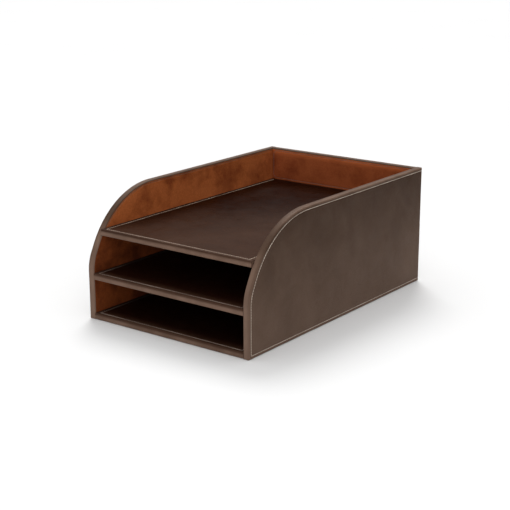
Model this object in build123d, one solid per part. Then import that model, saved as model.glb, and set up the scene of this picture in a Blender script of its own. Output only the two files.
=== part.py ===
from build123d import *
import os
from math import cos, radians, sin, sqrt

# Three-level letter tray: lined boards wrapped in leather, in millimetres.
# +X is to the right, +Y to the back, +Z up. The origin is the middle of the underside.

# Overall size
overall_width = 250.0
overall_depth = 382.0
overall_height = 158.0

# Layers of every wall and shelf, and how far the felt stands below the leather
board = 6.0
leather = 1.0
suede = 1.6
felt_proud = 0.4

# Clear heights of the two closed bays, and how far the top shelf stands out of the curved edge
lower_bay_height = 43.3
middle_bay_height = 45.2
nose_overhang = 1.0

# Side outline: straight front, small heel arc, short ramp, then the crown arc up to the top edge
front_straight = 62.0
heel_radius = 50.0
heel_turn = radians(27.0)
ramp_run = 10.5

# Leather folded over the edges and turned under the base
edge_lip = 0.6
turn_under = 16.0
leather_round = 1.3
felt_gap = 0.3

# Sewn seams: flat channels filled by the thread
thread_width = 0.8
thread_depth = 0.5
wall_seam_inset = 4.0
shelf_seam_from_front = 4.5
shelf_seam_from_side = 5.5
lining_seam_inset = 2.0
lining_seam_corner = 6.0
back_seam_corner = 2.0

# Wire brads that hold the boards together
brad_length = 22.0
brad_width = 1.25
brad_thick = 1.0
brad_head_width = 2.4
brad_head_height = 0.8
brad_margin = 34.0
corner_brad_margin = 12.0
brads_per_shelf_side = 5
brads_per_shelf_back = 4
brads_per_corner = 4

# Worked-out places
half_width = overall_width / 2
half_depth = overall_depth / 2
front = -half_depth
shelf = leather + board + leather
underside = felt_proud
boards_floor = underside + leather
base_top = underside + shelf
middle_bottom = base_top + lower_bay_height
middle_top = middle_bottom + shelf
top_bottom = middle_top + middle_bay_height
top_top = top_bottom + shelf
board_outer = half_width - leather
board_inner = board_outer - board
lining_face = board_inner - suede
back_board_rear = half_depth - leather
back_board_front = back_board_rear - board
back_lining_face = back_board_front - suede
edge_wrap = leather + edge_lip
board_round = leather_round - leather
under_x = half_width - turn_under
under_y = half_depth - turn_under
ramp_end_y = heel_radius * (1 - cos(heel_turn)) + ramp_run * sin(heel_turn)
ramp_end_z = front_straight + heel_radius * sin(heel_turn) + ramp_run * cos(heel_turn)
crown_radius = (overall_height - ramp_end_z) / (1 - sin(heel_turn))
crown_y = ramp_end_y + crown_radius * cos(heel_turn)
crown_z = overall_height - crown_radius
top_setback = crown_y - sqrt(crown_radius**2 - (top_bottom - crown_z) ** 2) - nose_overhang
shelf_bottoms = {"base": underside, "middle_shelf": middle_bottom, "top_shelf": top_bottom}
shelf_fronts = {"base": front, "middle_shelf": front, "top_shelf": front + top_setback}
bay_floors = {"lower": "base", "middle": "middle_shelf", "upper": "top_shelf"}
bay_roofs = {"lower": "middle_shelf", "middle": "top_shelf"}


def block(x_range, y_range, z_range):
    """Box between three pairs of limits."""
    sizes = [high - low for low, high in (x_range, y_range, z_range)]
    middles = [(high + low) / 2 for low, high in (x_range, y_range, z_range)]
    return Pos(*middles) * Box(*sizes)


def side_face(inset, floor_z, rear_y):
    """Side view of a wall, drawn in by inset from its front, curved and top edges."""
    heel = heel_radius - inset
    crown = crown_radius - inset
    crown_middle = (heel_turn + radians(90)) / 2

    def on_heel(turn):
        return (front + heel_radius - heel * cos(turn), front_straight + heel * sin(turn))

    def on_crown(turn):
        return (front + crown_y - crown * cos(turn), crown_z + crown * sin(turn))

    foot = (front + inset, floor_z)
    top_front = on_crown(radians(90))
    top_rear = (rear_y, overall_height - inset)
    foot_rear = (rear_y, floor_z)
    outline = Curve() + [
        Line(foot, on_heel(0)),
        ThreePointArc(on_heel(0), on_heel(heel_turn / 2), on_heel(heel_turn)),
        Line(on_heel(heel_turn), on_crown(heel_turn)),
        ThreePointArc(on_crown(heel_turn), on_crown(crown_middle), top_front),
        Line(top_front, top_rear),
        Line(top_rear, foot_rear),
        Line(foot_rear, foot),
    ]
    return make_face(outline)


def side_solid(face, x_range):
    """A side-view face made solid across a range of x."""
    return extrude(Plane.YZ.offset(x_range[0]) * face, amount=x_range[1] - x_range[0])


def both_sides(left):
    """The left piece and its mirror image, the right piece."""
    return {"left": left, "right": mirror(left, about=Plane.YZ)}


def ease_sides(solid, radius):
    """Rounds the long edges of a wall, except along its foot."""
    edges = solid.edges().filter_by(Axis.X, reverse=True)
    foot_z = solid.bounding_box().min.Z
    return fillet(edges.filter_by(lambda edge: edge.center().Z > foot_z + radius), radius)


def ease_front(solid, radius):
    """Rounds the two front edges of a shelf."""
    return fillet(solid.edges().filter_by(Axis.X).group_by(Axis.Y)[0], radius)


def ease_top(solid, radius):
    """Rounds the two top edges of the back wall."""
    return fillet(solid.edges().filter_by(Axis.X).group_by(Axis.Z)[-1], radius)


def spread(low, high, count):
    """Evenly spaced places from low to high."""
    step = (high - low) / (count - 1)
    return [low + step * index for index in range(count)]


def brad(head_top, direction):
    """A wire brad with a flat head, driven along direction from the place of its head."""
    shank = Box(brad_width, brad_thick, brad_length)
    head = Box(brad_head_width, brad_width, brad_head_height)
    head_end = Pos(0, 0, (brad_head_height - brad_length) / 2) * head
    driven = Pos(0, 0, brad_length / 2) * (shank + head_end)
    return Plane(origin=head_top, x_dir=(0, 0, 1), z_dir=direction) * driven


def cut_by(piece, tools):
    """The piece with each tool's space taken out of it."""
    for tool in tools:
        piece = piece - tool
    return piece


def seam_ring(x_range, z_range, inset, corner):
    """Seam band round an upright rectangle, in the XZ plane, at an inset from its edges."""
    width = x_range[1] - x_range[0] - 2 * inset
    height = z_range[1] - z_range[0] - 2 * inset
    outer = RectangleRounded(width + thread_width, height + thread_width, corner)
    inner = RectangleRounded(width - thread_width, height - thread_width, corner - thread_width)
    middle = Pos(sum(x_range) / 2, sum(z_range) / 2)
    return middle * (outer - inner)


# Inside the folded edges of the side walls, and the strips of the base kept for turned leather
inside_edges = side_solid(side_face(edge_wrap, underside, half_depth), (-board_inner, board_inner))
left_under = block((-half_width, -under_x), (front, half_depth), (underside, boards_floor))
right_under = mirror(left_under, about=Plane.YZ)


def side_board():
    """The left side board, with its long edges eased."""
    face = side_face(leather, boards_floor, back_board_rear)
    return ease_sides(side_solid(face, (-board_outer, -board_inner)), board_round)


def shelf_board(name):
    """A board between the sides, narrowed at its front corners for its own cover and the folded leather."""
    z_range = (shelf_bottoms[name] + leather, shelf_bottoms[name] + leather + board)
    narrow_x = lining_face - leather
    narrow_y = (shelf_fronts[name] + leather, back_board_front)
    full_y = (shelf_fronts[name] + edge_wrap, back_board_front)
    narrow = ease_front(block((-narrow_x, narrow_x), narrow_y, z_range), board_round)
    full = block((-board_inner, board_inner), full_y, z_range)
    return narrow + (full & inside_edges)


def back_board():
    """The back board, between the side boards and behind the shelves."""
    z_range = (boards_floor, overall_height - leather)
    y_range = (back_board_front, back_board_rear)
    return ease_top(block((-board_inner, board_inner), y_range, z_range), board_round)


def side_brads():
    """Brads through the left side board into the shelves and into the edge of the back board."""
    places = []
    for name, bottom in shelf_bottoms.items():
        y_limits = (shelf_fronts[name] + brad_margin, back_board_front - brad_margin)
        for y in spread(*y_limits, brads_per_shelf_side):
            places.append((-board_outer, y, bottom + shelf / 2))
    corner_y = (back_board_front + back_board_rear) / 2
    z_limits = (base_top + corner_brad_margin, overall_height - corner_brad_margin)
    for z in spread(*z_limits, brads_per_corner):
        places.append((-board_outer, corner_y, z))
    return Compound([brad(place, (1, 0, 0)).solid() for place in places])


def back_brads():
    """Brads through the back board into the rear edges of the shelves."""
    reach = board_inner - brad_margin
    return Compound([
        brad((x, back_board_rear, bottom + shelf / 2), (0, -1, 0)).solid()
        for bottom in shelf_bottoms.values()
        for x in spread(-reach, reach, brads_per_shelf_back)
    ])


def side_cover():
    """Leather over the left side: outer face, every edge, an inner lip and a strip under the base."""
    wall = side_solid(side_face(0, underside, half_depth), (-half_width, -lining_face))
    lined = side_solid(side_face(edge_wrap, underside, half_depth), (-board_inner, -lining_face))
    corner = block((-board_inner, -lining_face), (back_lining_face, half_depth), (0, overall_height))
    cover = cut_by(ease_sides(wall, leather_round), [side_board(), lined, corner])
    return cover + left_under


def back_cover():
    """Leather over the back board: rear face, top edge, an inner lip and a strip under the base."""
    z_range = (underside, overall_height)
    wall = block((-board_inner, board_inner), (back_lining_face, half_depth), z_range)
    lined_z = (underside, overall_height - edge_wrap)
    lined = block((-board_inner, board_inner), (back_lining_face, back_board_front), lined_z)
    cover = cut_by(ease_top(wall, leather_round), [back_board(), lined, left_under, right_under])
    return cover + block((-under_x, under_x), (under_y, half_depth), (underside, boards_floor))


def shelf_cover(name):
    """Leather round the top, front, front corners and underside of a shelf, lying between the linings."""
    bottom = shelf_bottoms[name]
    y_range = (shelf_fronts[name], back_lining_face)
    wrapped = ease_front(block((-lining_face, lining_face), y_range, (bottom, bottom + shelf)), leather_round)
    cover = wrapped - shelf_board(name)
    if name == "base":
        open_floor = block((-half_width, half_width), (-under_y, half_depth), (underside, boards_floor))
        cover = cut_by(cover, [open_floor, left_under, right_under])
    return cover


def bay_heights(bay):
    """From the top of the board below a bay to the underside of the board above it."""
    floor_z = shelf_bottoms[bay_floors[bay]] + leather + board
    if bay in bay_roofs:
        return (floor_z, shelf_bottoms[bay_roofs[bay]] + leather)
    return (floor_z, overall_height - edge_wrap)


def side_lining(bay):
    """Suede on the left wall of a bay, up to the folded leather edge."""
    slab = block((-board_inner, -lining_face), (front, back_board_front), bay_heights(bay))
    return slab & inside_edges


def back_lining(bay):
    """Suede on the back wall of a bay, between the two side linings."""
    return block((-lining_face, lining_face), (back_lining_face, back_board_front), bay_heights(bay))


def edge_seam(inset, rear_y, outer_x):
    """Thread round the left wall, at an inset from all its edges but the rear one."""
    outer = side_face(inset - thread_width / 2, underside + inset - thread_width / 2, rear_y)
    inner = side_face(inset + thread_width / 2, underside + inset + thread_width / 2, rear_y)
    return side_solid(outer - inner, (outer_x, outer_x + thread_depth))


def shelf_seam(name):
    """Thread along the front and both sides of a shelf's top."""
    half = thread_width / 2
    top = shelf_bottoms[name] + shelf
    x = lining_face - shelf_seam_from_side
    y = shelf_fronts[name] + shelf_seam_from_front
    z_range = (top - thread_depth, top)
    outer = block((-x - half, x + half), (y - half, back_lining_face), z_range)
    return outer - block((-x + half, x - half), (y + half, back_lining_face), z_range)


brads = both_sides(side_brads()) | {"back": back_brads()}
parts = {}

for side, piece in both_sides(side_board()).items():
    parts[f"{side}_side_board"] = cut_by(piece, brads[side].solids())
for name in shelf_bottoms:
    near = [tool for group in brads.values() for tool in group.solids()]
    parts[f"{name}_board"] = cut_by(shelf_board(name), near)
every_brad = [tool for group in brads.values() for tool in group.solids()]
parts["back_board"] = cut_by(back_board(), every_brad)
for place, group in brads.items():
    parts[f"{place}_brads"] = group

wall_seams = both_sides(edge_seam(wall_seam_inset, half_depth, -half_width))
for side, piece in both_sides(side_cover()).items():
    parts[f"{side}_side_cover"] = piece - wall_seams[side]
    parts[f"{side}_side_thread"] = wall_seams[side]

back_seam_face = seam_ring(
    (-board_inner, board_inner), (underside, overall_height), wall_seam_inset, back_seam_corner
)
back_thread = extrude(Plane.XZ.offset(-half_depth) * back_seam_face, amount=thread_depth)
parts["back_cover"] = back_cover() - back_thread
parts["back_thread"] = back_thread

for name in shelf_bottoms:
    thread = shelf_seam(name)
    parts[f"{name}_cover"] = shelf_cover(name) - thread
    parts[f"{name}_thread"] = thread

for bay in bay_floors:
    for side, piece in both_sides(side_lining(bay)).items():
        parts[f"{bay}_{side}_lining"] = piece
    parts[f"{bay}_back_lining"] = back_lining(bay)

upper_seam = edge_seam(edge_wrap + lining_seam_inset, back_lining_face, -lining_face - thread_depth)
upper_seam = upper_seam & block((-half_width, 0), (front, half_depth), (top_top, overall_height))
for side, thread in both_sides(upper_seam).items():
    parts[f"upper_{side}_lining"] = parts[f"upper_{side}_lining"] - thread
    parts[f"upper_{side}_lining_thread"] = thread
lining_seam_face = seam_ring(
    (-lining_face, lining_face), (top_top, overall_height - edge_wrap), lining_seam_inset, lining_seam_corner
)
back_lining_thread = extrude(Plane.XZ.offset(-back_lining_face) * lining_seam_face, amount=-thread_depth)
parts["upper_back_lining"] = parts["upper_back_lining"] - back_lining_thread
parts["upper_back_lining_thread"] = back_lining_thread

parts["base_felt"] = block(
    (-under_x + felt_gap, under_x - felt_gap), (-under_y + felt_gap, under_y - felt_gap), (0, boards_floor)
)

os.makedirs("parts", exist_ok=True)
for name, piece in parts.items():
    piece.label = name
    export_step(piece, f"parts/{name}.step")
    print(name, len(piece.solids()), round(sum(solid.volume for solid in piece.solids())))
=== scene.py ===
import math
from collections import namedtuple

import bmesh
import bpy
import numpy as np
from mathutils import Matrix, Vector
from mathutils.geometry import delaunay_2d_cdt


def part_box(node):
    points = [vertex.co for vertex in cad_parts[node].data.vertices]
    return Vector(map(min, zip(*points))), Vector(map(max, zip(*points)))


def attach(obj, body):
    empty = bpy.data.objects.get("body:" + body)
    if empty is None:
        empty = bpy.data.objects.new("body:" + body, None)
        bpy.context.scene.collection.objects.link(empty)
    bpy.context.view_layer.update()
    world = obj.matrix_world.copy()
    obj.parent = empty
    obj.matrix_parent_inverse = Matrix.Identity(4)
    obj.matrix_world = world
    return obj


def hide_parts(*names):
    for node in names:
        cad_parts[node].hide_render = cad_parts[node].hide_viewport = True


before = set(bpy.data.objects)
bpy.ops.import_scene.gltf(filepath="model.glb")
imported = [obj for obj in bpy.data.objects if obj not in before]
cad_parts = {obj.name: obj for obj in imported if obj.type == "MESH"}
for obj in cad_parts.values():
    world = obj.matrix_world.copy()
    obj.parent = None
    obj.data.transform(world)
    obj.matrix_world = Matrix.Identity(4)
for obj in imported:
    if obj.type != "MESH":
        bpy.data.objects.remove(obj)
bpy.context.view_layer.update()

# Lengths are in millimetres until a mesh is made. A flat outline is drawn in two coordinates, u and v,
# and a third one, the depth, runs from the surface into the wall or shelf.
MM = 0.001


def box_mm(node):
    """Lowest and highest corner of a CAD node, in millimetres."""
    low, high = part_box(node)
    return np.array(low) / MM, np.array(high) / MM


# ------------------------------------------------------------------ sizes
COVER_LOW, COVER_HIGH = box_mm("left_side_cover")
BOARD_LOW, BOARD_HIGH = box_mm("left_side_board")
LINING_HIGH = box_mm("upper_left_lining")[1]
HALF_WIDTH = -COVER_LOW[0]
FRONT = COVER_LOW[1]
REAR = COVER_HIGH[1]
TOP = COVER_HIGH[2]
UNDERSIDE = COVER_LOW[2]
UNDER_X = -COVER_HIGH[0]
BOARD_INNER = -BOARD_HIGH[0]
LINING_FACE = -LINING_HIGH[0]
BACK_FACE = box_mm("upper_back_lining")[0][1]
LINING_TOP = LINING_HIGH[2]
UNDER_Y = box_mm("back_cover")[0][1]
SHELF_TOP = box_mm("top_shelf_cover")[1][2]

WALL = HALF_WIDTH - LINING_FACE
WRAP = HALF_WIDTH - BOARD_INNER
TURN_UNDER = HALF_WIDTH - UNDER_X
EDGE_LIP = TOP - LINING_TOP
LEATHER = BOARD_LOW[0] - COVER_LOW[0]
SUEDE = BOARD_INNER - LINING_FACE

# Side outline as in the CAD: straight front, heel arc, ramp, crown arc, level top
FRONT_STRAIGHT = 62.0
HEEL_RADIUS = 50.0
HEEL_TURN = math.radians(27.0)
RAMP_RUN = 10.5
HEEL_Y = FRONT + HEEL_RADIUS
RAMP_Y = FRONT + HEEL_RADIUS * (1 - math.cos(HEEL_TURN)) + RAMP_RUN * math.sin(HEEL_TURN)
RAMP_Z = FRONT_STRAIGHT + HEEL_RADIUS * math.sin(HEEL_TURN) + RAMP_RUN * math.cos(HEEL_TURN)
CROWN_RADIUS = (TOP - RAMP_Z) / (1 - math.sin(HEEL_TURN))
CROWN_Y = RAMP_Y + CROWN_RADIUS * math.cos(HEEL_TURN)
CROWN_Z = TOP - CROWN_RADIUS

EDGE_ROUND = 1.3
WALL_SEAM = 4.0
SHELF_SEAM_FRONT = 4.5
SHELF_SEAM_SIDE = 5.5
LINING_ROUND = 0.8
LINING_SEAM = 2.0
LINING_FIELD = 7.0
LINING_CORNER = 6.0
SIDES = (("left", -1), ("right", 1))
PITCH = 3.4
STEP = PITCH / 4
PLAIN_STEP = 3.0
FIELD = 11.0


# ------------------------------------------------------------------ outlines
def side_curve(inset):
    """The side outline's heel and crown, drawn in by inset, from the end of the straight front to the top."""
    heel = HEEL_RADIUS - inset
    crown = CROWN_RADIUS - inset
    heel_turns = np.linspace(0, HEEL_TURN, 26)
    crown_turns = np.linspace(HEEL_TURN, math.pi / 2, 72)
    on_heel = [(HEEL_Y - heel * math.cos(t), FRONT_STRAIGHT + heel * math.sin(t)) for t in heel_turns]
    on_crown = [(CROWN_Y - crown * math.cos(t), CROWN_Z + crown * math.sin(t)) for t in crown_turns]
    return on_heel + on_crown


def side_inset(y, z):
    """How far a point of the side view is inside the outer front, curved and top edges."""
    heel_y = HEEL_Y - y
    heel_z = z - FRONT_STRAIGHT
    crown_y = CROWN_Y - y
    crown_z = z - CROWN_Z
    ramp = (y - RAMP_Y) * math.cos(HEEL_TURN) - (z - RAMP_Z) * math.sin(HEEL_TURN)
    stretches = (
        (z <= FRONT_STRAIGHT, y - FRONT),
        (np.arctan2(heel_z, heel_y) < HEEL_TURN, HEEL_RADIUS - np.hypot(heel_y, heel_z)),
        (y >= CROWN_Y, TOP - z),
        (np.arctan2(crown_z, crown_y) >= HEEL_TURN, CROWN_RADIUS - np.hypot(crown_y, crown_z)),
    )
    return np.select(*zip(*stretches), ramp)


def at_level(before, here, level):
    """The point of a line between two others that is on a level."""
    before, here = np.array(before), np.array(here)
    return tuple(before + (level - before[1]) / (here[1] - before[1]) * (here - before))


def between_levels(points, low, high):
    """The part of a rising line between two levels, from exactly on the one to exactly on the other."""
    for index in range(1, len(points)):
        if points[index - 1][1] < low <= points[index][1]:
            points = [at_level(points[index - 1], points[index], low)] + points[index:]
            break
    for index in range(1, len(points)):
        if points[index - 1][1] <= high < points[index][1]:
            return points[:index] + [at_level(points[index - 1], points[index], high)]
    return points


def rectangle_runs(low, high, names=("bottom", "right", "top", "left")):
    """A rectangle's four edges, each a named run of an outline."""
    corners = [(low[0], low[1]), (high[0], low[1]), (high[0], high[1]), (low[0], high[1])]
    return [(name, [corners[i], corners[(i + 1) % 4]]) for i, name in enumerate(names)]


# A stretch of an outline: its stations, their inward moves and normals, and how far along they are
Run = namedtuple("Run", "name places mitres normals along")


def no_repeats(ring):
    """A closed ring of vertex numbers without neighbours that are the same."""
    return [number for index, number in enumerate(ring) if number != ring[index - 1]]


def trace(outline, step=STEP, stretch=(1, 1)):
    """Stations about a step apart on a closed outline of named runs, given in order."""
    corners = np.array([point for _, points in outline for point in points[:-1]], float)
    forward = np.roll(corners, -1, 0) - corners
    forward /= np.linalg.norm(forward, axis=1)[:, None]
    shifted = np.roll(corners, -1, 0)
    area = np.sum(corners[:, 0] * shifted[:, 1] - corners[:, 1] * shifted[:, 0])
    turn = 1 if area > 0 else -1
    normal = turn * np.stack([-forward[:, 1], forward[:, 0]], 1)
    before = np.roll(normal, 1, 0)
    mitre = (normal + before) / (1 + np.sum(normal * before, 1))[:, None] * stretch
    runs = []
    start = 0
    along = 0.0
    for name, points in outline:
        count = len(points) - 1
        own = normal[start:start + count]
        ends = np.vstack([own[:1], own[:-1] + own[1:], own[-1:]])
        ends /= np.linalg.norm(ends, axis=1)[:, None]
        rows = [[], [], [], []]
        for index in range(count):
            a = np.array(points[index], float)
            b = np.array(points[index + 1], float)
            length = np.linalg.norm(b - a)
            parts = max(1, round(length / step))
            last = index == count - 1
            for part in range(parts + last):
                share = part / parts
                at = start + index
                rows[0].append(a + share * (b - a))
                rows[1].append(mitre[at] + share * (mitre[(at + 1) % len(corners)] - mitre[at]))
                rows[2].append(ends[index] + share * (ends[index + 1] - ends[index]))
                rows[3].append(along + share * length)
            along += length
        runs.append(Run(name, *[np.array(row) for row in rows]))
        start += count
    return runs


# ------------------------------------------------------------------ relief of the surface
def waves(u, v, seed, size, height):
    """Gentle unevenness of a covering over its board: a few waves in fixed random directions."""
    draw = np.random.default_rng(seed)
    total = 0.0
    for _ in range(8):
        angle = draw.uniform(0, 2 * math.pi)
        pace = 2 * math.pi / (size * draw.uniform(0.6, 1.7))
        ahead = u * math.cos(angle) + v * math.sin(angle)
        total = total + np.sin(pace * ahead + draw.uniform(0, 2 * math.pi))
    return total * height / 2.8


def seam_relief(off, along, channel, swell):
    """Depth near a seam: a channel with a dimple at each needle hole, and the leather swelling beside it."""
    hole = (0.5 + 0.5 * np.cos(2 * math.pi * along / PITCH)) ** 3
    groove = (channel + 0.22 * hole) * np.exp(-((off / 0.62) ** 2))
    outer = swell * np.exp(-((off + 1.8) ** 2) / 1.5)
    inner = 0.7 * swell * np.exp(-((off - 2.1) ** 2) / 3.2)
    return groove - outer - inner


# ------------------------------------------------------------------ skins
class Skin:
    """A layer of leather or suede: an outer and an inner surface, joined by a rim round every open edge."""

    def __init__(self):
        self.numbers = {}
        self.outer = []
        self.inner = []
        self.edge_light = []
        self.faces = []
        self.loop = []

    def vertex(self, outer, inner, edge_light):
        key = tuple(round(float(x), 3) for x in (*outer, *inner))
        if key not in self.numbers:
            self.numbers[key] = len(self.outer)
            self.outer.append(outer)
            self.inner.append(inner)
            self.edge_light.append(edge_light)
        return self.numbers[key]

    def rows(self, rows):
        """Faces along one run. Each row has an outer and inner (u, v, depth) and an edge light value at every
        station, for the painted highlight on lit rims.
        """
        columns = []
        for station in zip(*[zip(*row) for row in rows]):
            columns.append([self.vertex(*corner) for corner in station])
        for left, right in zip(columns[:-1], columns[1:]):
            for row in range(len(left) - 1):
                self.face((left[row], left[row + 1], right[row + 1], right[row]))
        self.loop += [column[0] for column in columns[:-1]]

    def face(self, numbers):
        ring = no_repeats(numbers)
        if len(set(ring)) > 2:
            self.faces.append(tuple(ring))

    def fill(self, step, depth_at, thickness):
        """Fills the inside of the first rows, with a grid of points about a step apart."""
        loop = no_repeats(self.loop)
        edge = np.array([self.outer[n][:2] for n in loop])
        low = edge.min(0)
        high = edge.max(0)
        counts = np.maximum(1, np.round((high - low) / step)).astype(int)
        grid = []
        for i in range(counts[0]):
            for j in range(counts[1]):
                shift = 0.25 * (-1) ** i
                place = low + (high - low) * (np.array([i, j]) + (0.5, 0.5 + shift)) / counts
                if inside(place, edge, step * 0.5):
                    grid.append(place)
        vectors = [Vector(place) for place in list(edge) + grid]
        sides = [(index, (index + 1) % len(edge)) for index in range(len(edge))]
        placed, _, faces, origins, _, _ = delaunay_2d_cdt(vectors, sides, [], 1, 1e-6)
        numbers = []
        for place, origin in zip(placed, origins):
            if origin and origin[0] < len(edge):
                numbers.append(loop[origin[0]])
                continue
            u, v = place
            depth = float(depth_at(np.array([u]), np.array([v]))[0])
            numbers.append(self.vertex((u, v, depth), (u, v, thickness), 0.0))
        for face in faces:
            self.face([numbers[index] for index in face])

    def build(self, name, place, material):
        """A closed mesh object. place turns rows of (u, v, depth) into (x, y, z)."""
        outer = place(np.array(self.outer, float))
        inner = place(np.array(self.inner, float))
        inner_number = {}
        inner_points = []
        inner_of = []
        for point in inner:
            key = tuple(np.round(point, 3))
            if key not in inner_number:
                inner_number[key] = len(outer) + len(inner_points)
                inner_points.append(point)
            inner_of.append(inner_number[key])
        uses = {}
        for face in self.faces:
            for index, here in enumerate(face):
                before = face[index - 1]
                uses.setdefault(frozenset((before, here)), []).append((before, here))
        faces = list(self.faces)
        for face in self.faces:
            ring = no_repeats([inner_of[number] for number in reversed(face)])
            if len(set(ring)) > 2 and len(set(ring)) == len(ring):
                faces.append(tuple(ring))
        for pair in uses.values():
            if len(pair) == 1:
                before, here = pair[0]
                ring = no_repeats([here, before, inner_of[before], inner_of[here]])
                if len(set(ring)) > 2:
                    faces.append(tuple(ring))
        points = np.vstack([outer, np.array(inner_points)])
        edge_light = self.edge_light + [0.0] * len(inner_points)
        return mesh_object(name, points, faces, material, edge_light=edge_light)


def inside(point, edge, margin):
    """Whether a point is inside a closed line and clear of its stations."""
    u0, v0 = edge[:, 0], edge[:, 1]
    u1, v1 = np.roll(u0, -1), np.roll(v0, -1)
    crossing = (v0 > point[1]) != (v1 > point[1])
    rise = np.where(v1 == v0, 1.0, v1 - v0)
    at = u0 + (point[1] - v0) * (u1 - u0) / rise
    odd = np.count_nonzero(crossing & (at > point[0])) % 2 == 1
    return odd and np.min(np.hypot(u0 - point[0], v0 - point[1])) > margin


def mesh_object(name, points, faces, material, sharp=50, edge_light=None):
    """A mesh object in metres from points in millimetres, smooth but for its sharp edges."""
    mesh = bpy.data.meshes.new(name)
    mesh.from_pydata((np.asarray(points) * MM).tolist(), [], faces)
    if edge_light is not None:
        attribute = mesh.attributes.new("edge_light", "FLOAT", "POINT")
        attribute.data.foreach_set("value", np.asarray(edge_light, np.float32))
    work = bmesh.new()
    work.from_mesh(mesh)
    bmesh.ops.remove_doubles(work, verts=work.verts, dist=1e-7)
    bmesh.ops.recalc_face_normals(work, faces=work.faces)
    work.to_mesh(mesh)
    work.free()
    mesh.polygons.foreach_set("use_smooth", [True] * len(mesh.polygons))
    mesh.set_sharp_from_angle(angle=math.radians(sharp))
    mesh.materials.append(material)
    piece = bpy.data.objects.new(name, mesh)
    bpy.context.scene.collection.objects.link(piece)
    return piece


def dress(piece, slot, *nodes):
    """Puts a finished piece on the object in place of its CAD nodes."""
    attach(piece, "root")
    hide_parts(*nodes)


# ------------------------------------------------------------------ sections
def at_depth(places, depth):
    """Rows of (u, v, depth), with one depth for all or one for each."""
    return np.column_stack([places, np.broadcast_to(depth, len(places))])


def between_stitches(relief):
    """The relief of the open field, where it is level with the middle of a stitch."""
    return lambda u, v: relief(u, v, np.full(len(u), PITCH / 2))


def face_insets(seam, field, radius):
    """Insets of the rows on a face: wide apart in the field, close at the seam, and round the edge."""
    rows = [field, 0.6 * field + 0.4 * seam + 0.6, seam + 2.6, seam + 1.9]
    rows += list(np.arange(seam + 1.4, seam - 1.5, -0.2))
    rows = [row for row in rows if row > radius + 0.1]
    rows += [radius * (1 - math.cos(t)) for t in np.linspace(math.pi / 2, 0, 8)]
    return rows


def bend_tail(width):
    """Rows past the edge: across the thickness and round the far edge.
    Each row is an outer inset and depth and an inner inset and depth."""
    rows = band_tail(width - EDGE_ROUND)
    inner_round = EDGE_ROUND - LEATHER
    for t in np.linspace(0, math.pi / 2, 7)[1:]:
        outer = (EDGE_ROUND * (1 - math.cos(t)), width - EDGE_ROUND * (1 - math.sin(t)))
        inner = (EDGE_ROUND - inner_round * math.cos(t), width - EDGE_ROUND + inner_round * math.sin(t))
        rows.append((*outer, *inner))
    return rows


def fold_tail(width):
    """Rows past the edge for leather that folds over and ends in a lip, with its cut edge let in a little."""
    near_end = EDGE_LIP - 0.3
    inner = width - LEATHER
    return bend_tail(width) + [(near_end, width, near_end, inner), (EDGE_LIP, width + 0.25, EDGE_LIP, inner)]


def band_tail(width):
    """Rows past the edge for leather that goes straight on to a cut end."""
    return [(0.0, depth, LEATHER, depth) for depth in straight(EDGE_ROUND, width)]


def straight(low, high):
    """Depths after low, up to high, about 2 mm apart, with shared places near the edge."""
    shared = [depth for depth in (2.8, 4.2, 5.6) if low < depth < high - 0.2]
    begin = shared[-1] if shared else low
    count = max(1, math.ceil((high - begin) / 2.5))
    return shared + [begin + (high - begin) * (index + 1) / count for index in range(count)]


def cover_skin(runs, seam, tails, relief, rounded, lit_edges, mitred=False, fill_step=7.0):
    """Leather over a board, with a seam on its face. Each named run may have a tail past the edge.
    rounded gives, for points and insets, the distance from the rounded edge and the way in from it.
    The edge light argument gives how pale the edge is painted, a painted highlight where light falls on the
    rims, for points and the depth past the face. Mitred tails keep their inner corners together."""
    insets = face_insets(seam, FIELD, EDGE_ROUND)
    inner_round = EDGE_ROUND - LEATHER
    made = Skin()
    for run in runs:
        head = []
        for inset in insets:
            place = run.places + run.mitres * inset
            distance, way = rounded(place, run, inset)
            near = np.clip((EDGE_ROUND - distance) / EDGE_ROUND, 0, 1)
            turn = np.sqrt(1 - near**2)
            fall = EDGE_ROUND * (1 - turn)
            depth = fall + relief(place[:, 0], place[:, 1], run.along) * (1 - near)
            kept = insets[0] if inset > 6 else min(inset, EDGE_ROUND)
            hidden = run.places + run.mitres * kept
            move = (EDGE_ROUND - inner_round * near) - distance
            inner = np.where((near > 0)[:, None], place + way * move[:, None], hidden)
            inner_depth = np.where(near > 0, EDGE_ROUND - inner_round * turn, LEATHER)
            # Painted highlight near the rounded edge, fading over the first few millimetres of the face.
            edge_light = lit_edges(place, 0.0) * np.clip(1.15 - inset / 3.4, 0, 1)
            head.append((at_depth(place, depth), at_depth(inner, inner_depth), edge_light))
        tail = []
        for b, depth, b_in, depth_in in tails.get(run.name, []):
            place = run.places + run.normals * b
            base = run.normals * b_in
            if mitred:
                base = run.mitres * LEATHER + run.normals * (b_in - LEATHER)
            tail.append((at_depth(place, depth), at_depth(run.places + base, depth_in), lit_edges(place, depth)))
        made.rows(head + tail)
    made.fill(fill_step, between_stitches(relief), LEATHER)
    return made


# ------------------------------------------------------------------ stitches
def stitch_places(runs, seam, wanted, keep=lambda u, v: True):
    """Centres and directions of the stitches on the named runs, where keep allows them."""
    centres = []
    directions = []
    for run in runs:
        if run.name not in wanted:
            continue
        line = run.places + run.mitres * seam
        first = math.ceil(run.along[0] / PITCH - 0.5)
        last = math.floor(run.along[-1] / PITCH - 0.5)
        for number in range(first, last + 1):
            middle = (number + 0.5) * PITCH
            ends = [middle - 0.5 * PITCH, middle + 0.5 * PITCH]
            spots = np.array([[np.interp(a, run.along, line[:, k]) for k in (0, 1)] for a in [middle] + ends])
            if keep(*spots[0]):
                centres.append(spots[0])
                directions.append((spots[2] - spots[1]) / max(np.linalg.norm(spots[2] - spots[1]), 1e-6))
    return np.array(centres), np.array(directions)


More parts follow.
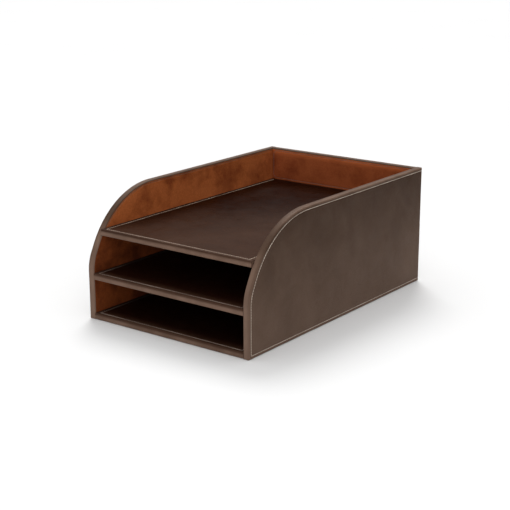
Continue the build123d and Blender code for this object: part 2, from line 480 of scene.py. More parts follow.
def stitches(name, centres, directions, place, material, radius=0.45, depth=0.06, seed=1):
    """One object of separate stitches, each a short bowed length of thread with its ends in the holes."""
    draw = np.random.default_rng(seed)
    shares = np.array([-1.0, -0.86, -0.5, 0.0, 0.5, 0.86, 1.0])
    thick = radius * np.array([0.3, 0.78, 1.0, 1.04, 1.0, 0.78, 0.3])
    dips = depth + 0.5 * np.abs(shares) ** 5
    around = np.linspace(0, 2 * math.pi, 7)[:-1]
    points = []
    faces = []
    for centre, direction in zip(centres, directions):
        slant = math.radians(7.0 + draw.normal(0, 2.0))
        cosine, sine = math.cos(slant), math.sin(slant)
        u, v = direction
        ahead = np.array([u * cosine - v * sine, u * sine + v * cosine])
        aside = np.array([-ahead[1], ahead[0]])
        half = 0.5 * PITCH * draw.uniform(0.88, 0.94)
        sink = dips + draw.normal(0, 0.02)
        start = len(points)
        for share, wide, low in zip(shares, thick, sink):
            for angle in around:
                flat = centre + ahead * share * half + aside * wide * math.cos(angle)
                points.append((*flat, low + wide * math.sin(angle)))
        count = len(around)
        for ring in range(len(shares) - 1):
            for side in range(count):
                after = (side + 1) % count
                here = start + ring * count
                there = here + count
                faces.append((here + side, here + after, there + after, there + side))
        faces.append(tuple(start + side for side in reversed(range(count))))
        faces.append(tuple(start + (len(shares) - 1) * count + side for side in range(count)))
    return mesh_object(name, place(np.array(points)), faces, material, 80)


# ------------------------------------------------------------------ places
def on_side(sign):
    """Rows of (y, z, depth from the outer face of a side wall) to (x, y, z)."""
    return lambda p: np.column_stack([sign * (HALF_WIDTH - p[:, 2]), p[:, 0], p[:, 1]])


def in_side(sign):
    """Rows of (y, z, depth from a side lining's face) to (x, y, z)."""
    return lambda p: np.column_stack([sign * (LINING_FACE + p[:, 2]), p[:, 0], p[:, 1]])


def in_side_end(sign):
    """Rows of (y, z, depth from a shelf's end at the lining) to (x, y, z)."""
    return lambda p: np.column_stack([sign * (LINING_FACE - p[:, 2]), p[:, 0], p[:, 1]])


def on_back(p):
    """Rows of (x, z, depth from the rear face) to (x, y, z)."""
    return np.column_stack([p[:, 0], REAR - p[:, 2], p[:, 1]])


def in_back(p):
    """Rows of (x, z, depth from the back lining's face) to (x, y, z)."""
    return np.column_stack([p[:, 0], BACK_FACE + p[:, 2], p[:, 1]])


def on_level(level):
    """Rows of (x, y, depth below a level) to (x, y, z)."""
    return lambda p: np.column_stack([p[:, 0], p[:, 1], level - p[:, 2]])


# ------------------------------------------------------------------ material helpers
class Nodes:
    """The nodes of a material or world, with short ways to add and link them."""

    def __init__(self, owner, place="Object"):
        owner.use_nodes = True
        self.owner = owner
        self.tree = owner.node_tree
        self.place = self.node("TexCoord").outputs[place]

    def put(self, socket, value):
        """Links a socket's output, or sets a number, a vector or a colour."""
        if isinstance(value, bpy.types.NodeSocket):
            self.tree.links.new(value, socket)
        else:
            socket.default_value = (*value, 1.0) if socket.type == "RGBA" else value

    def node(self, kind, inputs=None, **settings):
        made = self.tree.nodes.new("ShaderNode" + kind)
        for key, value in settings.items():
            setattr(made, key, value)
        for key, value in (inputs or {}).items():
            self.put(made.inputs[key], value)
        return made

    def moved(self, scale, shift=(0, 0, 0)):
        inputs = {"Vector": self.place, "Scale": scale, "Location": shift}
        return self.node("Mapping", inputs).outputs["Vector"]

    def noise(self, scale, detail=3.0, rough=0.55, distortion=0.0, vector=None):
        inputs = {"Vector": vector or self.place, "Scale": scale, "Detail": detail}
        return self.node("TexNoise", {**inputs, "Roughness": rough, "Distortion": distortion}).outputs["Fac"]

    def cells(self, scale, feature="DISTANCE_TO_EDGE", vector=None):
        inputs = {"Vector": vector or self.place, "Scale": scale}
        return self.node("TexVoronoi", inputs, feature=feature).outputs["Distance"]

    def remap(self, value, low, high, new_low=0.0, new_high=1.0):
        inputs = {"Value": value, "From Min": low, "From Max": high, "To Min": new_low, "To Max": new_high}
        return self.node("MapRange", inputs).outputs["Result"]

    def maths(self, operation, a, b):
        return self.node("Math", {0: a, 1: b}, operation=operation).outputs["Value"]

    def mix(self, share, a, b):
        return self.node("Mix", {0: share, 6: a, 7: b}, data_type="RGBA").outputs[2]

    def along(self, direction):
        """How far each point lies along a direction, in metres."""
        inputs = {0: self.place, 1: direction}
        return self.node("VectorMath", inputs, operation="DOT_PRODUCT").outputs["Value"]

    def fade(self, direction, start, end, low=0.0, high=1.0):
        """A change from low to high between two places along a direction, given in mm."""
        return self.remap(self.along(direction), start * MM, end * MM, low, high)

    def edge_light(self):
        return self.node("Attribute", attribute_name="edge_light").outputs["Fac"]

    def bump(self, height, distance, strength, under=None):
        below = {"Normal": under} if under else {}
        inputs = {"Height": height, "Distance": distance, "Strength": strength, **below}
        return self.node("Bump", inputs).outputs["Normal"]

    def finish(self, color, roughness, normal, **plain):
        shader = self.tree.nodes["Principled BSDF"]
        inputs = {"Base_Color": color, "Roughness": roughness, "Normal": normal, **plain}
        for name, value in inputs.items():
            self.put(shader.inputs[name.replace("_", " ")], value)
        return self.owner


def new_material(name):
    return Nodes(bpy.data.materials.new(name))


def scaled(colour, share):
    return tuple(share * part for part in colour)


# ------------------------------------------------------------------ materials
# Painted highlight: the pale tone that lit leather rims are mixed towards.
LIT_EDGE_TONE = (0.250, 0.160, 0.118)
UPWARD = (0.0, 0.0, 1.0)
FORWARD = (0.0, -1.0, 0.0)


def leather(name, deep, light, specular, rough, grained, painted_shading):
    """Dark finished leather: fine pebble grain, creases, cloudy dye, and paler rims, where a painted
    highlight stands for light on the rounded edges.

    The gradient argument gives a direction, how far along it in mm the leather is darkest, and how far it is
    palest: painted shade, light and sheen, under the cloudy dye."""
    m = new_material(name)
    wobble = m.node("TexNoise", {"Vector": m.place, "Scale": 260.0}).outputs["Color"]
    most = (0.0016, 0.0016, 0.0016)
    warped = m.node("VectorMath", {0: wobble, 1: most, 2: m.place}, operation="MULTIPLY_ADD")
    grain = m.cells(1250.0, vector=warped.outputs["Vector"])
    pebble = m.remap(grain, 0.0, 0.34)
    pores = m.cells(2300.0, "F1")
    crease = m.noise(420.0, 4.0, 0.6, 0.6)
    cloud = m.noise(22.0, 4.0, 0.6, 0.4)
    streak = m.noise(9.0, 3.0, 0.5, 0.0, m.moved((1.0, 2.6, 1.0)))
    # Painted shade and light: the tone runs from deep to light along the gradient, with the cloudy dye on
    # top.
    pale = m.maths("ADD", m.fade(*painted_shading), m.remap(cloud, 0.3, 0.7, -0.12, 0.12))
    tone = m.mix(pale, deep, light)
    tone = m.mix(m.remap(streak, 0.45, 0.75, 0.0, 0.2), tone, scaled(deep, 0.8))
    tone = m.mix(m.remap(pebble, 0.0, 0.5, 0.3, 0.0), tone, scaled(deep, 0.45))
    # Painted highlight on the rims, from the edge light attribute, broken up a little by noise.
    lit_rim = m.maths("MULTIPLY", m.edge_light(), m.remap(m.noise(38.0, 3.0, 0.5), 0.3, 0.7, 0.55, 1.0))
    tone = m.mix(m.maths("MULTIPLY", lit_rim, 0.75), tone, LIT_EDGE_TONE)
    rough = m.remap(m.noise(60.0, 4.0, 0.6), 0.3, 0.7, rough - 0.06, rough + 0.06)
    rough = m.maths("ADD", rough, m.remap(pebble, 0.0, 1.0, 0.08, -0.02))
    height = m.maths("ADD", pebble, m.maths("MULTIPLY", crease, 0.9))
    height = m.maths("SUBTRACT", height, m.remap(pores, 0.0, 0.35, 0.35, 0.0))
    under = m.bump(m.noise(70.0, 3.0, 0.5), 0.0006, 0.35)
    normal = m.bump(height, 0.00006, grained, under)
    return m.finish(tone, rough, normal, Specular_IOR_Level=specular, Specular_Tint=(0.9, 0.68, 0.54))


def suede(name, deep, light, pale, seed, top_highlight=0.0):
    """Brushed suede: short nap with soft darker and paler patches where it lies in different ways.

    The last argument is how far the top strip is paled: a painted highlight where light catches the rounded
    top edge of the panel."""
    m = new_material(name)
    shift = (0.13 * seed, 0.07 * seed, 0.19 * seed)
    patches = m.noise(30.0, 4.0, 0.6, 0.15, m.moved((1.0, 1.0, 1.0), shift))
    strokes = m.noise(14.0, 3.0, 0.5, 0.2, m.moved((1.5, 0.8, 1.6), shift))
    nap = m.noise(1500.0, 3.0, 0.7)
    tufts = m.noise(520.0, 4.0, 0.65, 0.4)
    tone = m.mix(m.remap(patches, 0.36, 0.56), deep, light)
    tone = m.mix(m.remap(strokes, 0.5, 0.72, 0.0, 0.45), tone, pale)
    tone = m.mix(m.remap(tufts, 0.42, 0.62, 0.28, 0.0), tone, scaled(deep, 0.55))
    tone = m.mix(m.remap(nap, 0.45, 0.7, 0.0, 0.3), tone, pale)
    # Painted highlight along the top edge, where light catches the panel's rounded rim.
    if top_highlight:
        top = m.fade(UPWARD, LINING_TOP - 9.0, LINING_TOP, 0.0, top_highlight)
        tone = m.mix(top, tone, scaled(pale, 1.7))
    rough = m.remap(patches, 0.3, 0.7, 0.86, 0.98)
    height = m.maths("ADD", nap, m.maths("MULTIPLY", tufts, 1.4))
    normal = m.bump(height, 0.00016, 0.8, m.bump(patches, 0.0012, 0.25))
    return m.finish(
        tone, rough, normal, Specular_IOR_Level=0.08, Sheen_Weight=0.08, Sheen_Roughness=0.5,
        Sheen_Tint=(0.9, 0.45, 0.22),
    )


def thread(name, deep, light, painted_shading=None):
    """Waxed sewing thread: two plies twisted together, darker along the lay.

    The gradient argument gives a direction, and how far along it in mm the thread is painted darkest and is
    left as it is: painted shade deep in the bays."""
    m = new_material(name)
    inputs = {"Vector": m.place, "Scale": 520.0, "Distortion": 1.6}
    lay = m.node("TexWave", inputs, wave_type="BANDS", bands_direction="DIAGONAL").outputs["Fac"]
    age = m.noise(55.0, 4.0, 0.6)
    tone = m.mix(m.remap(age, 0.35, 0.68), deep, light)
    tone = m.mix(m.remap(lay, 0.0, 0.5, 0.3, 0.0), tone, scaled(deep, 0.5))
    # Painted shade: deep in the bays the thread is darkened almost to black.
    if painted_shading:
        tone = m.mix(m.fade(*painted_shading), scaled(deep, 0.08), tone)
    rough = m.remap(m.noise(300.0), 0.3, 0.7, 0.5, 0.72)
    normal = m.bump(lay, 0.0001, 0.8, m.bump(m.noise(2600.0), 0.00003, 0.5))
    return m.finish(tone, rough, normal, Specular_IOR_Level=0.4, Sheen_Weight=0.15)


def felt(name):
    """Pressed black-brown felt with tangled fibres and lint."""
    m = new_material(name)
    fibres = m.noise(900.0, 6.0, 0.75, 1.8)
    clumps = m.noise(120.0, 4.0, 0.6, 0.6)
    lint = m.cells(420.0, "F1", m.moved((1.0, 0.35, 1.0)))
    tone = m.mix(m.remap(clumps, 0.35, 0.65), (0.012, 0.009, 0.008), (0.026, 0.02, 0.017))
    tone = m.mix(m.remap(fibres, 0.5, 0.75, 0.0, 0.6), tone, (0.05, 0.04, 0.034))
    tone = m.mix(m.remap(lint, 0.0, 0.06, 0.5, 0.0), tone, (0.12, 0.1, 0.09))
    height = m.maths("ADD", fibres, clumps)
    rough = m.remap(fibres, 0.3, 0.7, 0.88, 0.99)
    return m.finish(tone, rough, m.bump(height, 0.0003, 0.8), Specular_IOR_Level=0.1, Sheen_Weight=0.3)


def fibreboard(name):
    """Raw fibreboard: pale brown with pressed fibres and darker flecks."""
    m = new_material(name)
    fibre = m.noise(240.0, 6.0, 0.7, 1.2, m.moved((1.0, 0.4, 1.0)))
    fleck = m.noise(900.0, 2.0, 0.5)
    tone = m.mix(m.remap(fibre, 0.35, 0.65), (0.26, 0.16, 0.09), (0.42, 0.29, 0.18))
    tone = m.mix(m.remap(fleck, 0.6, 0.72, 0.0, 0.5), tone, (0.12, 0.07, 0.04))
    rough = m.remap(fibre, 0.3, 0.7, 0.78, 0.92)
    return m.finish(tone, rough, m.bump(fibre, 0.0002, 0.6), Specular_IOR_Level=0.25)


def steel(name):
    """Drawn steel wire, brushed along its length, with a little tarnish."""
    m = new_material(name)
    drawn = m.noise(1400.0, 3.0, 0.6, 0.0, m.moved((0.05, 1.0, 1.0)))
    tarnish = m.noise(160.0, 4.0, 0.6)
    tone = m.mix(m.remap(tarnish, 0.5, 0.75, 0.0, 0.7), (0.55, 0.55, 0.56), (0.28, 0.23, 0.19))
    rough = m.remap(drawn, 0.3, 0.7, 0.28, 0.45)
    return m.finish(tone, rough, m.bump(drawn, 0.00002, 0.4), Metallic=1.0)


def studio_white(name):
    """Seamless studio paper with a very faint tooth."""
    m = new_material(name)
    tooth = m.noise(350.0, 3.0, 0.6)
    tone = m.mix(m.remap(m.noise(3.0), 0.3, 0.7), (0.73, 0.73, 0.73), (0.75, 0.75, 0.75))
    glow = dict(Emission_Color=(1, 1, 1), Emission_Strength=0.06)
    return m.finish(tone, m.remap(tooth, 0.3, 0.7, 0.85, 0.95), m.bump(tooth, 0.0001, 0.2), **glow)


# Painted shade and sheen on the shelves: each gradient runs from a dark end, where the tray's walls or the
# shelf above shade the leather, to a lit end at the front, where light and sheen fall. The first colour below
# is that painted lit end.
SHELF_LIT_TONE = (0.056, 0.0270, 0.0165)
SHELF_SHADE_FADE = ((0.8, -0.6, 0.0), -60.0, 90.0)
BAY_SHADE_FADE = (FORWARD, 172.0, 188.0)
# Painted shade and light on the walls: the leather is darker towards the top and paler towards the bottom,
# where light bounces up from the floor.
wall_leather = leather(
    "wall_leather", (0.044, 0.0220, 0.0120), (0.148, 0.0960, 0.0700), 0.07, 0.48, 0.75, (UPWARD, 165.0, 5.0),
)
top_leather = leather("top_leather", (0.012, 0.0030, 0.0011), SHELF_LIT_TONE, 0.022, 0.27, 0.3, SHELF_SHADE_FADE)
bay_leather = leather("bay_leather", (0.014, 0.0037, 0.0016), SHELF_LIT_TONE, 0.05, 0.40, 0.6, BAY_SHADE_FADE)
side_suede = suede("side_suede", (0.220, 0.045, 0.0095), (0.450, 0.120, 0.0310), (0.54, 0.155, 0.045), 1)
# Painted shade: the back lining's suede is a darker copy of the side suede, for the shade at the back of the
# tray.
back_suede = suede("back_suede", (0.225, 0.044, 0.0120), (0.370, 0.088, 0.0270), (0.46, 0.122, 0.038), 2, 0.6)
# Painted shade: the bays' suede is a much darker copy of the tray's suede, standing for the shade under the
# shelves.
bay_shade_suede = suede("bay_shade_suede", (0.085, 0.015, 0.0032), (0.230, 0.052, 0.0120), (0.28, 0.070, 0.018), 3)
pale_thread = thread("pale_thread", (0.44, 0.35, 0.28), (0.66, 0.55, 0.46))
# Painted shade: a darker copy of the pale thread for the top shelf's stitches, which lie in the tray's shade.
shelf_shade_thread = thread("shelf_shade_thread", (0.38, 0.27, 0.20), (0.56, 0.43, 0.33))
# Painted shade: the bays' thread is a darker copy of the pale thread, darkening further towards the back of
# the bay.
bay_thread = thread("bay_thread", (0.27, 0.20, 0.16), (0.40, 0.31, 0.25), (FORWARD, 130.0, 186.0))
brown_thread = thread("brown_thread", (0.20, 0.085, 0.040), (0.30, 0.14, 0.07))
mauve_thread = thread("mauve_thread", (0.24, 0.12, 0.085), (0.36, 0.20, 0.15))
dark_felt = felt("dark_felt")
board_stock = fibreboard("board_stock")
brad_steel = steel("brad_steel")
paper = studio_white("studio_white")


# ------------------------------------------------------------------ leather covers
# Insets and depths of the rows round a corner fold's edge
FOLD_ROWS = ((0.8, -0.1), (0.4, -0.03), (0.15, 0.06), (0.0, 0.25))
FOLD_OVERLAP = 0.4


def wall_edge_light(place, depth):
    """Walls get a painted highlight, palest on top and in front along the inner half of their edge, where
    light falls on the rims; on the curve the rim is painted darker, as painted shade.
    """
    front = np.clip((TOP - 8.0 - place[:, 1]) / 25.0, 0, 1)
    pale = front * min(max(0.45, (depth - 1.0) / 2.2), 1.0) + (1 - front) * (0.85 - 0.04 * depth)
    curve = np.clip(1.3 - np.abs(place[:, 1] - 0.82 * TOP) / 22.0, 0, 1)
    return pale * (1 - 0.85 * curve)


def shelf_edge_light(place, depth):
    """Shelves get a painted highlight along the lower part of their front, where light falls on the nose."""
    return np.full(len(place), min(max(0.1, (depth - 1.6) / 1.8), 1.0))


def always_rounded(place, run, inset):
    """Every edge is rounded, so the distance from it is the row's own inset."""
    return np.full(len(place), inset), run.mitres


def side_runs():
    """The side outline as runs. The lip stops at the back wall, and leather turns under in the middle."""
    front = [(FRONT, UNDERSIDE)] + side_curve(0) + [(BACK_FACE, TOP)]
    return trace([
        ("lip", front),
        ("wrap", [(BACK_FACE, TOP), (REAR, TOP)]),
        ("rear", [(REAR, TOP), (REAR, UNDERSIDE)]),
        ("rear_foot", [(REAR, UNDERSIDE), (UNDER_Y, UNDERSIDE)]),
        ("under", [(UNDER_Y, UNDERSIDE), (-UNDER_Y, UNDERSIDE)]),
        ("front_foot", [(-UNDER_Y, UNDERSIDE), (FRONT, UNDERSIDE)]),
    ])


def wall_relief(seed):
    """Seam along every edge of a side wall but the rear one, over a gently uneven face."""

    def relief(u, v, along):
        off = np.minimum(side_inset(u, v), v - UNDERSIDE) - WALL_SEAM
        seam = seam_relief(off, along, channel=0.4, swell=0.2)
        return seam + waves(u, v, seed, size=62.0, height=0.10)

    return relief


def side_cover(side, sign):
    runs = side_runs()
    tails = {name: band_tail(WRAP) for name in ("wrap", "rear", "rear_foot")}
    tails |= {"lip": fold_tail(WALL), "under": band_tail(TURN_UNDER), "front_foot": band_tail(WALL)}
    relief = wall_relief(11 if sign < 0 else 12)
    skin = cover_skin(runs, WALL_SEAM, tails, relief, always_rounded, wall_edge_light, mitred=True)
    piece = skin.build(f"{side}_side_leather", on_side(sign), wall_leather)
    dress(piece, "leather", f"{side}_side_cover")
    wanted = ("lip", "wrap", "rear_foot", "under", "front_foot")
    spots = stitch_places(runs, WALL_SEAM, wanted, lambda u, v: u < REAR - 3.0)
    sewn = stitches(f"{side}_side_stitches", *spots, on_side(sign), pale_thread, seed=21)
    dress(sewn, "thread", f"{side}_side_thread")


def back_cover():
    runs = trace(rectangle_runs((-BOARD_INNER, UNDERSIDE), (BOARD_INNER, TOP)))

    def rounded(place, run, inset):
        over = TOP - place[:, 1]
        under = place[:, 1] - UNDERSIDE
        way = np.where((over < under)[:, None], (0.0, -1.0), (0.0, 1.0))
        return np.minimum(over, under), way

    def relief(u, v, along):
        off = np.minimum(BOARD_INNER - np.abs(u), np.minimum(TOP - v, v - UNDERSIDE)) - WALL_SEAM
        seam = seam_relief(off, along, channel=0.4, swell=0.2)
        return seam + waves(u, v, 13, size=58.0, height=0.10)

    tails = {"top": fold_tail(WALL), "bottom": band_tail(TURN_UNDER)}
    skin = cover_skin(runs, WALL_SEAM, tails, relief, rounded, wall_edge_light)
    dress(skin.build("back_leather", on_back, wall_leather), "leather", "back_cover")
    spots = stitch_places(runs, WALL_SEAM, ("top", "bottom", "left", "right"))
    dress(stitches("back_stitches", *spots, on_back, pale_thread, seed=22), "thread", "back_thread")


def corner_fold(name, sign, front, bottom, top):
    """Leather tucked over a shelf's front corner: it closes the board's end as far as the wall covers it."""
    low_z = bottom + LEATHER
    high_z = top - LEATHER
    curve = [(FRONT + EDGE_LIP, UNDERSIDE)] + side_curve(EDGE_LIP)
    behind = [(y + FOLD_OVERLAP, z) for y, z in between_levels(curve, low_z, high_z)]
    front_y = front + LEATHER
    outline = trace([
        ("front", [(front_y, high_z), (front_y, low_z)]),
        ("under", [(front_y, low_z), (behind[0][0], low_z)]),
        ("behind", behind),
        ("over", [(behind[-1][0], high_z), (front_y, high_z)]),
    ], 1.0)
    made = Skin()
    for run in outline:
        rows = []
        for inset, depth in FOLD_ROWS:
            place = run.places + run.mitres * inset
            # The tucked corner gets half the painted rim highlight.
            rows.append((at_depth(place, depth), at_depth(place, LEATHER), np.full(len(place), 0.5)))
        made.rows(rows)
    made.fill(1.5, lambda u, v: np.full(len(u), FOLD_ROWS[0][1]), LEATHER)
    return made.build(name, in_side_end(sign), top_leather)


def join(piece, others):
    """Makes the other mesh objects loose parts of the first one's mesh."""
    work = bmesh.new()
    for source in [piece] + others:
        work.from_mesh(source.data)
    work.to_mesh(piece.data)
    work.free()
    for other in others:
        bpy.data.objects.remove(other)


def shelf_cover(name, under, seed):
    low, high = box_mm(f"{name}_cover")
    front = low[1]
    level = high[2]
    thick = high[2] - low[2]
    stretch = (SHELF_SEAM_SIDE / SHELF_SEAM_FRONT, 1)
    names = ("front", "right", "rear", "left")
    runs = trace(rectangle_runs((-LINING_FACE, front), (LINING_FACE, BACK_FACE), names), stretch=stretch)

    def rounded(place, run, inset):
        return place[:, 1] - front, np.tile((0.0, 1.0), (len(place), 1))

    def relief(u, v, along):
        off = np.minimum(v - front, (LINING_FACE - np.abs(u)) / stretch[0]) - SHELF_SEAM_FRONT
        seam = seam_relief(off, along, channel=0.42, swell=0.24)
        return seam + waves(u, v, seed, size=70.0, height=0.12)

    reach, count = (under, 4) if under else (BACK_FACE - front, 24)
    below = [(b, thick, b, thick - LEATHER) for b in np.linspace(EDGE_ROUND, reach, count)[1:]]
    tails = {"front": bend_tail(thick) + below}
    skin = cover_skin(runs, SHELF_SEAM_FRONT, tails, relief, rounded, shelf_edge_light, fill_step=8.0)
    look, sewing = (top_leather, shelf_shade_thread) if name == "top_shelf" else (bay_leather, bay_thread)
    piece = skin.build(f"{name}_leather", on_level(level), look)
    tucked = [corner_fold(f"{name}_fold_{side}", sign, front, low[2], high[2]) for side, sign in SIDES]
    join(piece, tucked)
    dress(piece, "leather", f"{name}_cover")
    wanted = ("front", "left", "right")
    spots = stitch_places(runs, SHELF_SEAM_FRONT, wanted, lambda u, v: v < BACK_FACE - 2.0)
    sewn = stitches(f"{name}_stitches", *spots, on_level(level), sewing, seed=23 + seed)
    dress(sewn, "thread", f"{name}_thread")


# ------------------------------------------------------------------ suede linings
def lining(name, runs, place, relief, material, seam):
    """A suede panel with a softly rounded edge."""
    radius = LINING_ROUND
    if seam:
        insets = face_insets(seam, LINING_FIELD, radius)
    else:
        insets = [5.0, 2.5, 1.4] + [radius * (1 - math.cos(t)) for t in np.linspace(math.pi / 2, 0, 6)]
    made = Skin()
    for run in runs:
        rows = []
        for inset in insets:
            spots = run.places + run.mitres * inset
            near = max(0.0, (radius - inset) / radius)
            fall = radius * (1 - math.sqrt(1 - near**2))
            depth = fall + relief(spots[:, 0], spots[:, 1], run.along) * (1 - near)
            hidden = run.places + run.mitres * (insets[0] if inset > 2.4 else 0.0)
            edge_light = np.full(len(spots), max(0.0, 1 - inset / 1.4))
            rows.append((at_depth(spots, depth), at_depth(hidden, SUEDE), edge_light))
        made.rows(rows)
    made.fill(7.0, between_stitches(relief), SUEDE)
    piece = made.build(f"{name}_suede", place, material)
    dress(piece, "suede_lining", f"{name}_lining")


def lining_waves(seed):
    return lambda u, v, along: waves(u, v, seed, size=48.0, height=0.12)


def rounded_ring(low, high, radius):
    """A closed line round a rectangle with rounded corners, as one run."""
    points = []
    for number, (u, v) in enumerate(((1, 0), (1, 1), (0, 1), (0, 0))):
        centre_u = high[0] - radius if u else low[0] + radius
        centre_v = high[1] - radius if v else low[1] + radius
        for t in np.linspace(0, math.pi / 2, 9):
            angle = t + (number - 1) * math.pi / 2
            points.append((centre_u + radius * math.cos(angle), centre_v + radius * math.sin(angle)))
    return [("ring", points + points[:1])]


def back_seam(low, high):
    """Depth of the rounded seam on the open tray's back lining, and the line that its stitches follow."""
    low_u, low_v = low[0] + LINING_SEAM, SHELF_TOP + LINING_SEAM
    high_u, high_v = high[0] - LINING_SEAM, high[1] - LINING_SEAM
    middle = ((low_u + high_u) / 2, (low_v + high_v) / 2)
    half = ((high_u - low_u) / 2, (high_v - low_v) / 2)

    def relief(u, v, along):
        over_u = np.abs(u - middle[0]) - half[0] + LINING_CORNER
        over_v = np.abs(v - middle[1]) - half[1] + LINING_CORNER
        corner = np.hypot(np.maximum(over_u, 0), np.maximum(over_v, 0))
        off = LINING_CORNER - corner - np.minimum(np.maximum(over_u, over_v), 0)
        return seam_relief(off, along, channel=0.3, swell=0.14)

    return relief, trace(rounded_ring((low_u, low_v), (high_u, high_v), LINING_CORNER))


def side_lining_runs(bay, step):
    """The outline of a side lining between its floor and its roof, along the folded leather edge."""
    low, high = box_mm(f"{bay}_left_lining")
    curve = [(FRONT + EDGE_LIP, UNDERSIDE)] + side_curve(EDGE_LIP) + [(high[1], LINING_TOP)]
    edge = between_levels(curve, low[2], high[2]) if low[2] > UNDERSIDE else curve
    if edge[-1][1] < high[2] - 0.01:
        edge = edge + [(edge[-1][0], high[2])]
    outline = [("edge", edge)]
    if edge[-1][0] < high[1] - 0.01:
        outline.append(("roof", [edge[-1], (high[1], edge[-1][1])]))
    outline.append(("rear", [outline[-1][1][-1], (high[1], low[2])]))
    outline.append(("floor", [(high[1], low[2]), edge[0]]))
    return trace(outline, step)


def back_panel(bay):
    """Lowest and highest corner of a back lining, as (x, z)."""
    low, high = box_mm(f"{bay}_back_lining")
    return low[[0, 2]], high[[0, 2]]


def bay_linings(bay, seed):
    """The plain suede of a bay under a shelf, in a darker copy that paints the shade inside the bay."""
    for side, sign in SIDES:
        runs = side_lining_runs(bay, PLAIN_STEP)
        relief = lining_waves(seed + sign)
        lining(f"{bay}_{side}", runs, in_side(sign), relief, bay_shade_suede, 0)
    runs = trace(rectangle_runs(*back_panel(bay)), PLAIN_STEP)
    lining(f"{bay}_back", runs, in_back, lining_waves(seed + 5), bay_shade_suede, 0)


def tray_linings(seed):
    """The sewn suede of the open tray on top."""
    for side, sign in SIDES:
        runs = side_lining_runs("upper", STEP)

        def relief(u, v, along, base=lining_waves(seed + sign)):
            off = side_inset(u, v) - EDGE_LIP - LINING_SEAM
            return base(u, v, along) + seam_relief(off, along, channel=0.3, swell=0.12)

        def keep(u, v):
            return u < BACK_FACE - 2.0 and v > SHELF_TOP + 1.0

        place = in_side(sign)
        lining(f"upper_{side}", runs, place, relief, side_suede, LINING_SEAM)
        spots = stitch_places(runs, LINING_SEAM, ("edge",), keep)
        name = f"upper_{side}_lining_stitches"
        sewn = stitches(name, *spots, place, brown_thread, radius=0.3, depth=0.1, seed=31)
        dress(sewn, "lining_thread", f"upper_{side}_lining_thread")
    panel = back_panel("upper")
    runs = trace(rectangle_runs(*panel))
    base = lining_waves(seed + 5)
    seam, ring = back_seam(*panel)

    def back_relief(u, v, along):
        return base(u, v, along) + seam(u, v, along)

    lining("upper_back", runs, in_back, back_relief, back_suede, 3.0)
    spots = stitch_places(ring, 0.0, ("ring",))
    name = "upper_back_lining_stitches"
    sewn = stitches(name, *spots, in_back, mauve_thread, radius=0.32, depth=0.1, seed=33)
    dress(sewn, "lining_thread", "upper_back_lining_thread")


def base_felt():
    """Felt sheet glued under the base, with a soft cut edge."""
    low, high = box_mm("base_felt")
    runs = trace(rectangle_runs(low[:2], high[:2]), PLAIN_STEP)
    made = Skin()
    thick = high[2] - low[2]
    for run in runs:
        rows = []
        for inset in (9.0, 4.0, 1.5, 0.7, 0.25, 0.0):
            spots = run.places + run.mitres * inset
            fall = 0.35 * max(0.0, 1 - inset / 0.7) ** 2
            rough_edge = 0.05 * np.sin(run.along * 1.9) * (inset < 0.3)
            spots = spots + run.normals * (0.08 + rough_edge)[:, None] if inset < 0.3 else spots
            hidden = run.places + run.mitres * (9.0 if inset > 1 else 0.0)
            rows.append((at_depth(spots, fall), at_depth(hidden, thick), np.zeros(len(spots))))
        made.rows(rows)
    made.fill(9.0, lambda u, v: 0.04 + waves(u, v, 9, size=30.0, height=0.03), thick)

    piece = made.build("base_felt_sheet", lambda p: p + (0, 0, low[2]), dark_felt)
    dress(piece, "felt", "base_felt")


for side, sign in SIDES:
    side_cover(side, sign)
back_cover()
shelf_cover("base", TURN_UNDER, 1)
shelf_cover("middle_shelf", 0, 2)
shelf_cover("top_shelf", 0, 3)
bay_linings("lower", 40)
bay_linings("middle", 50)
tray_linings(60)
base_felt()

for name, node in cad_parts.items():
    for ending, material in (("_board", board_stock), ("_brads", brad_steel)):
        if name.endswith(ending):
            node.data.materials.clear()
            node.data.materials.append(material)


# ------------------------------------------------------------------ floor, lights and camera
FLOOR_REACH = 14.0
HORIZON = 0.10
OVERHEAD = 1.65
LENS = 87.013
DISTANCE = 1.597851
TARGET = Vector((-5.314, -7.373, 60.0)) * MM


def floor():
    """A wide sheet of white studio paper under the object."""
    mesh = bpy.data.meshes.new("studio_floor")
    corners = [(FLOOR_REACH * x, FLOOR_REACH * y, 0) for x, y in ((-1, -1), (1, -1), (1, 1), (-1, 1))]
    mesh.from_pydata(corners, [], [(0, 1, 2, 3)])
    mesh.materials.append(paper)
    sheet = bpy.data.objects.new("studio_floor", mesh)
    bpy.context.scene.collection.objects.link(sheet)


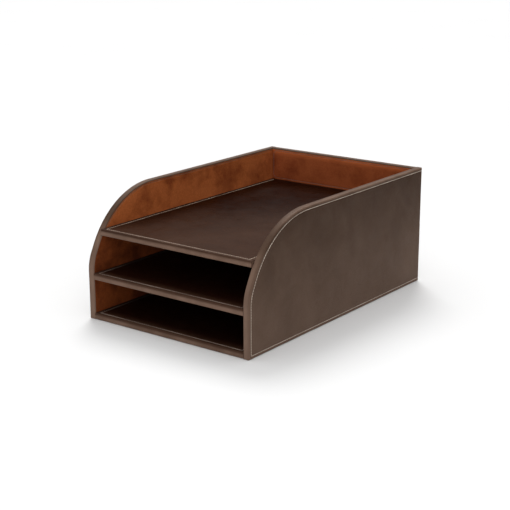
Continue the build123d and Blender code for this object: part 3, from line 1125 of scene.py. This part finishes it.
def lamp(name, kind, power, direction, place=(0, 0, 0)):
    """A light that shines in a direction. The caller sets its size."""
    data = bpy.data.lights.new(name, kind)
    data.energy = power
    light = bpy.data.objects.new(name, data)
    light.location = place
    light.rotation_euler = Vector(direction).to_track_quat("-Z", "Y").to_euler()
    bpy.context.scene.collection.objects.link(light)
    return data


def key_and_fill():
    """A broad sun from above the rear left, and a soft panel at the front right."""
    key = lamp("key", "SUN", 1.6, (0.52, -0.66, -1.0))
    key.angle = math.radians(26.0)
    place = Vector((1.5, -1.9, 0.7))
    fill = lamp("fill", "AREA", 13.0, Vector((0, 0, 0.08)) - place, place)
    fill.shape = "RECTANGLE"
    fill.size, fill.size_y = 1.6, 1.2


def studio_light():
    """A white room: bright overhead, dim towards the horizon, and plain white where it is seen directly."""
    sky = Nodes(bpy.data.worlds.new("studio"), "Generated")
    height = sky.node("SeparateXYZ", {"Vector": sky.place}).outputs["Z"]
    dome = sky.remap(sky.maths("MULTIPLY", height, height), 0.0, 1.0, HORIZON, OVERHEAD)
    direct = sky.node("LightPath").outputs["Is Camera Ray"]
    background = sky.tree.nodes["Background"].inputs
    sky.put(background["Strength"], sky.node("Mix", {0: direct, 2: dome, 3: 1.0}).outputs[0])
    sky.put(background["Color"], (1, 1, 1))
    bpy.context.scene.world = sky.owner


def camera():
    """The photograph's viewpoint: a little above the front right corner, with an 87 mm lens."""
    azimuth, elevation, roll = [math.radians(angle) for angle in (37.125, 16.158, -0.156)]
    right = Vector((math.cos(azimuth), math.sin(azimuth), 0.0))
    level = math.cos(elevation)
    back = Vector((math.sin(azimuth) * level, -math.cos(azimuth) * level, math.sin(elevation)))
    up = back.cross(right)
    across = right * math.cos(roll) + up * math.sin(roll)
    above = up * math.cos(roll) - right * math.sin(roll)
    data = bpy.data.cameras.new("camera")
    data.sensor_width = 36.0
    data.lens = LENS
    view = bpy.data.objects.new("camera", data)
    turn = Matrix((across, above, back)).transposed().to_4x4()
    view.matrix_world = Matrix.Translation(TARGET + back * DISTANCE) @ turn
    bpy.context.scene.collection.objects.link(view)
    bpy.context.scene.camera = view


floor()
camera()
bpy.context.scene.view_settings.view_transform = "Standard"
studio_light()
key_and_fill()
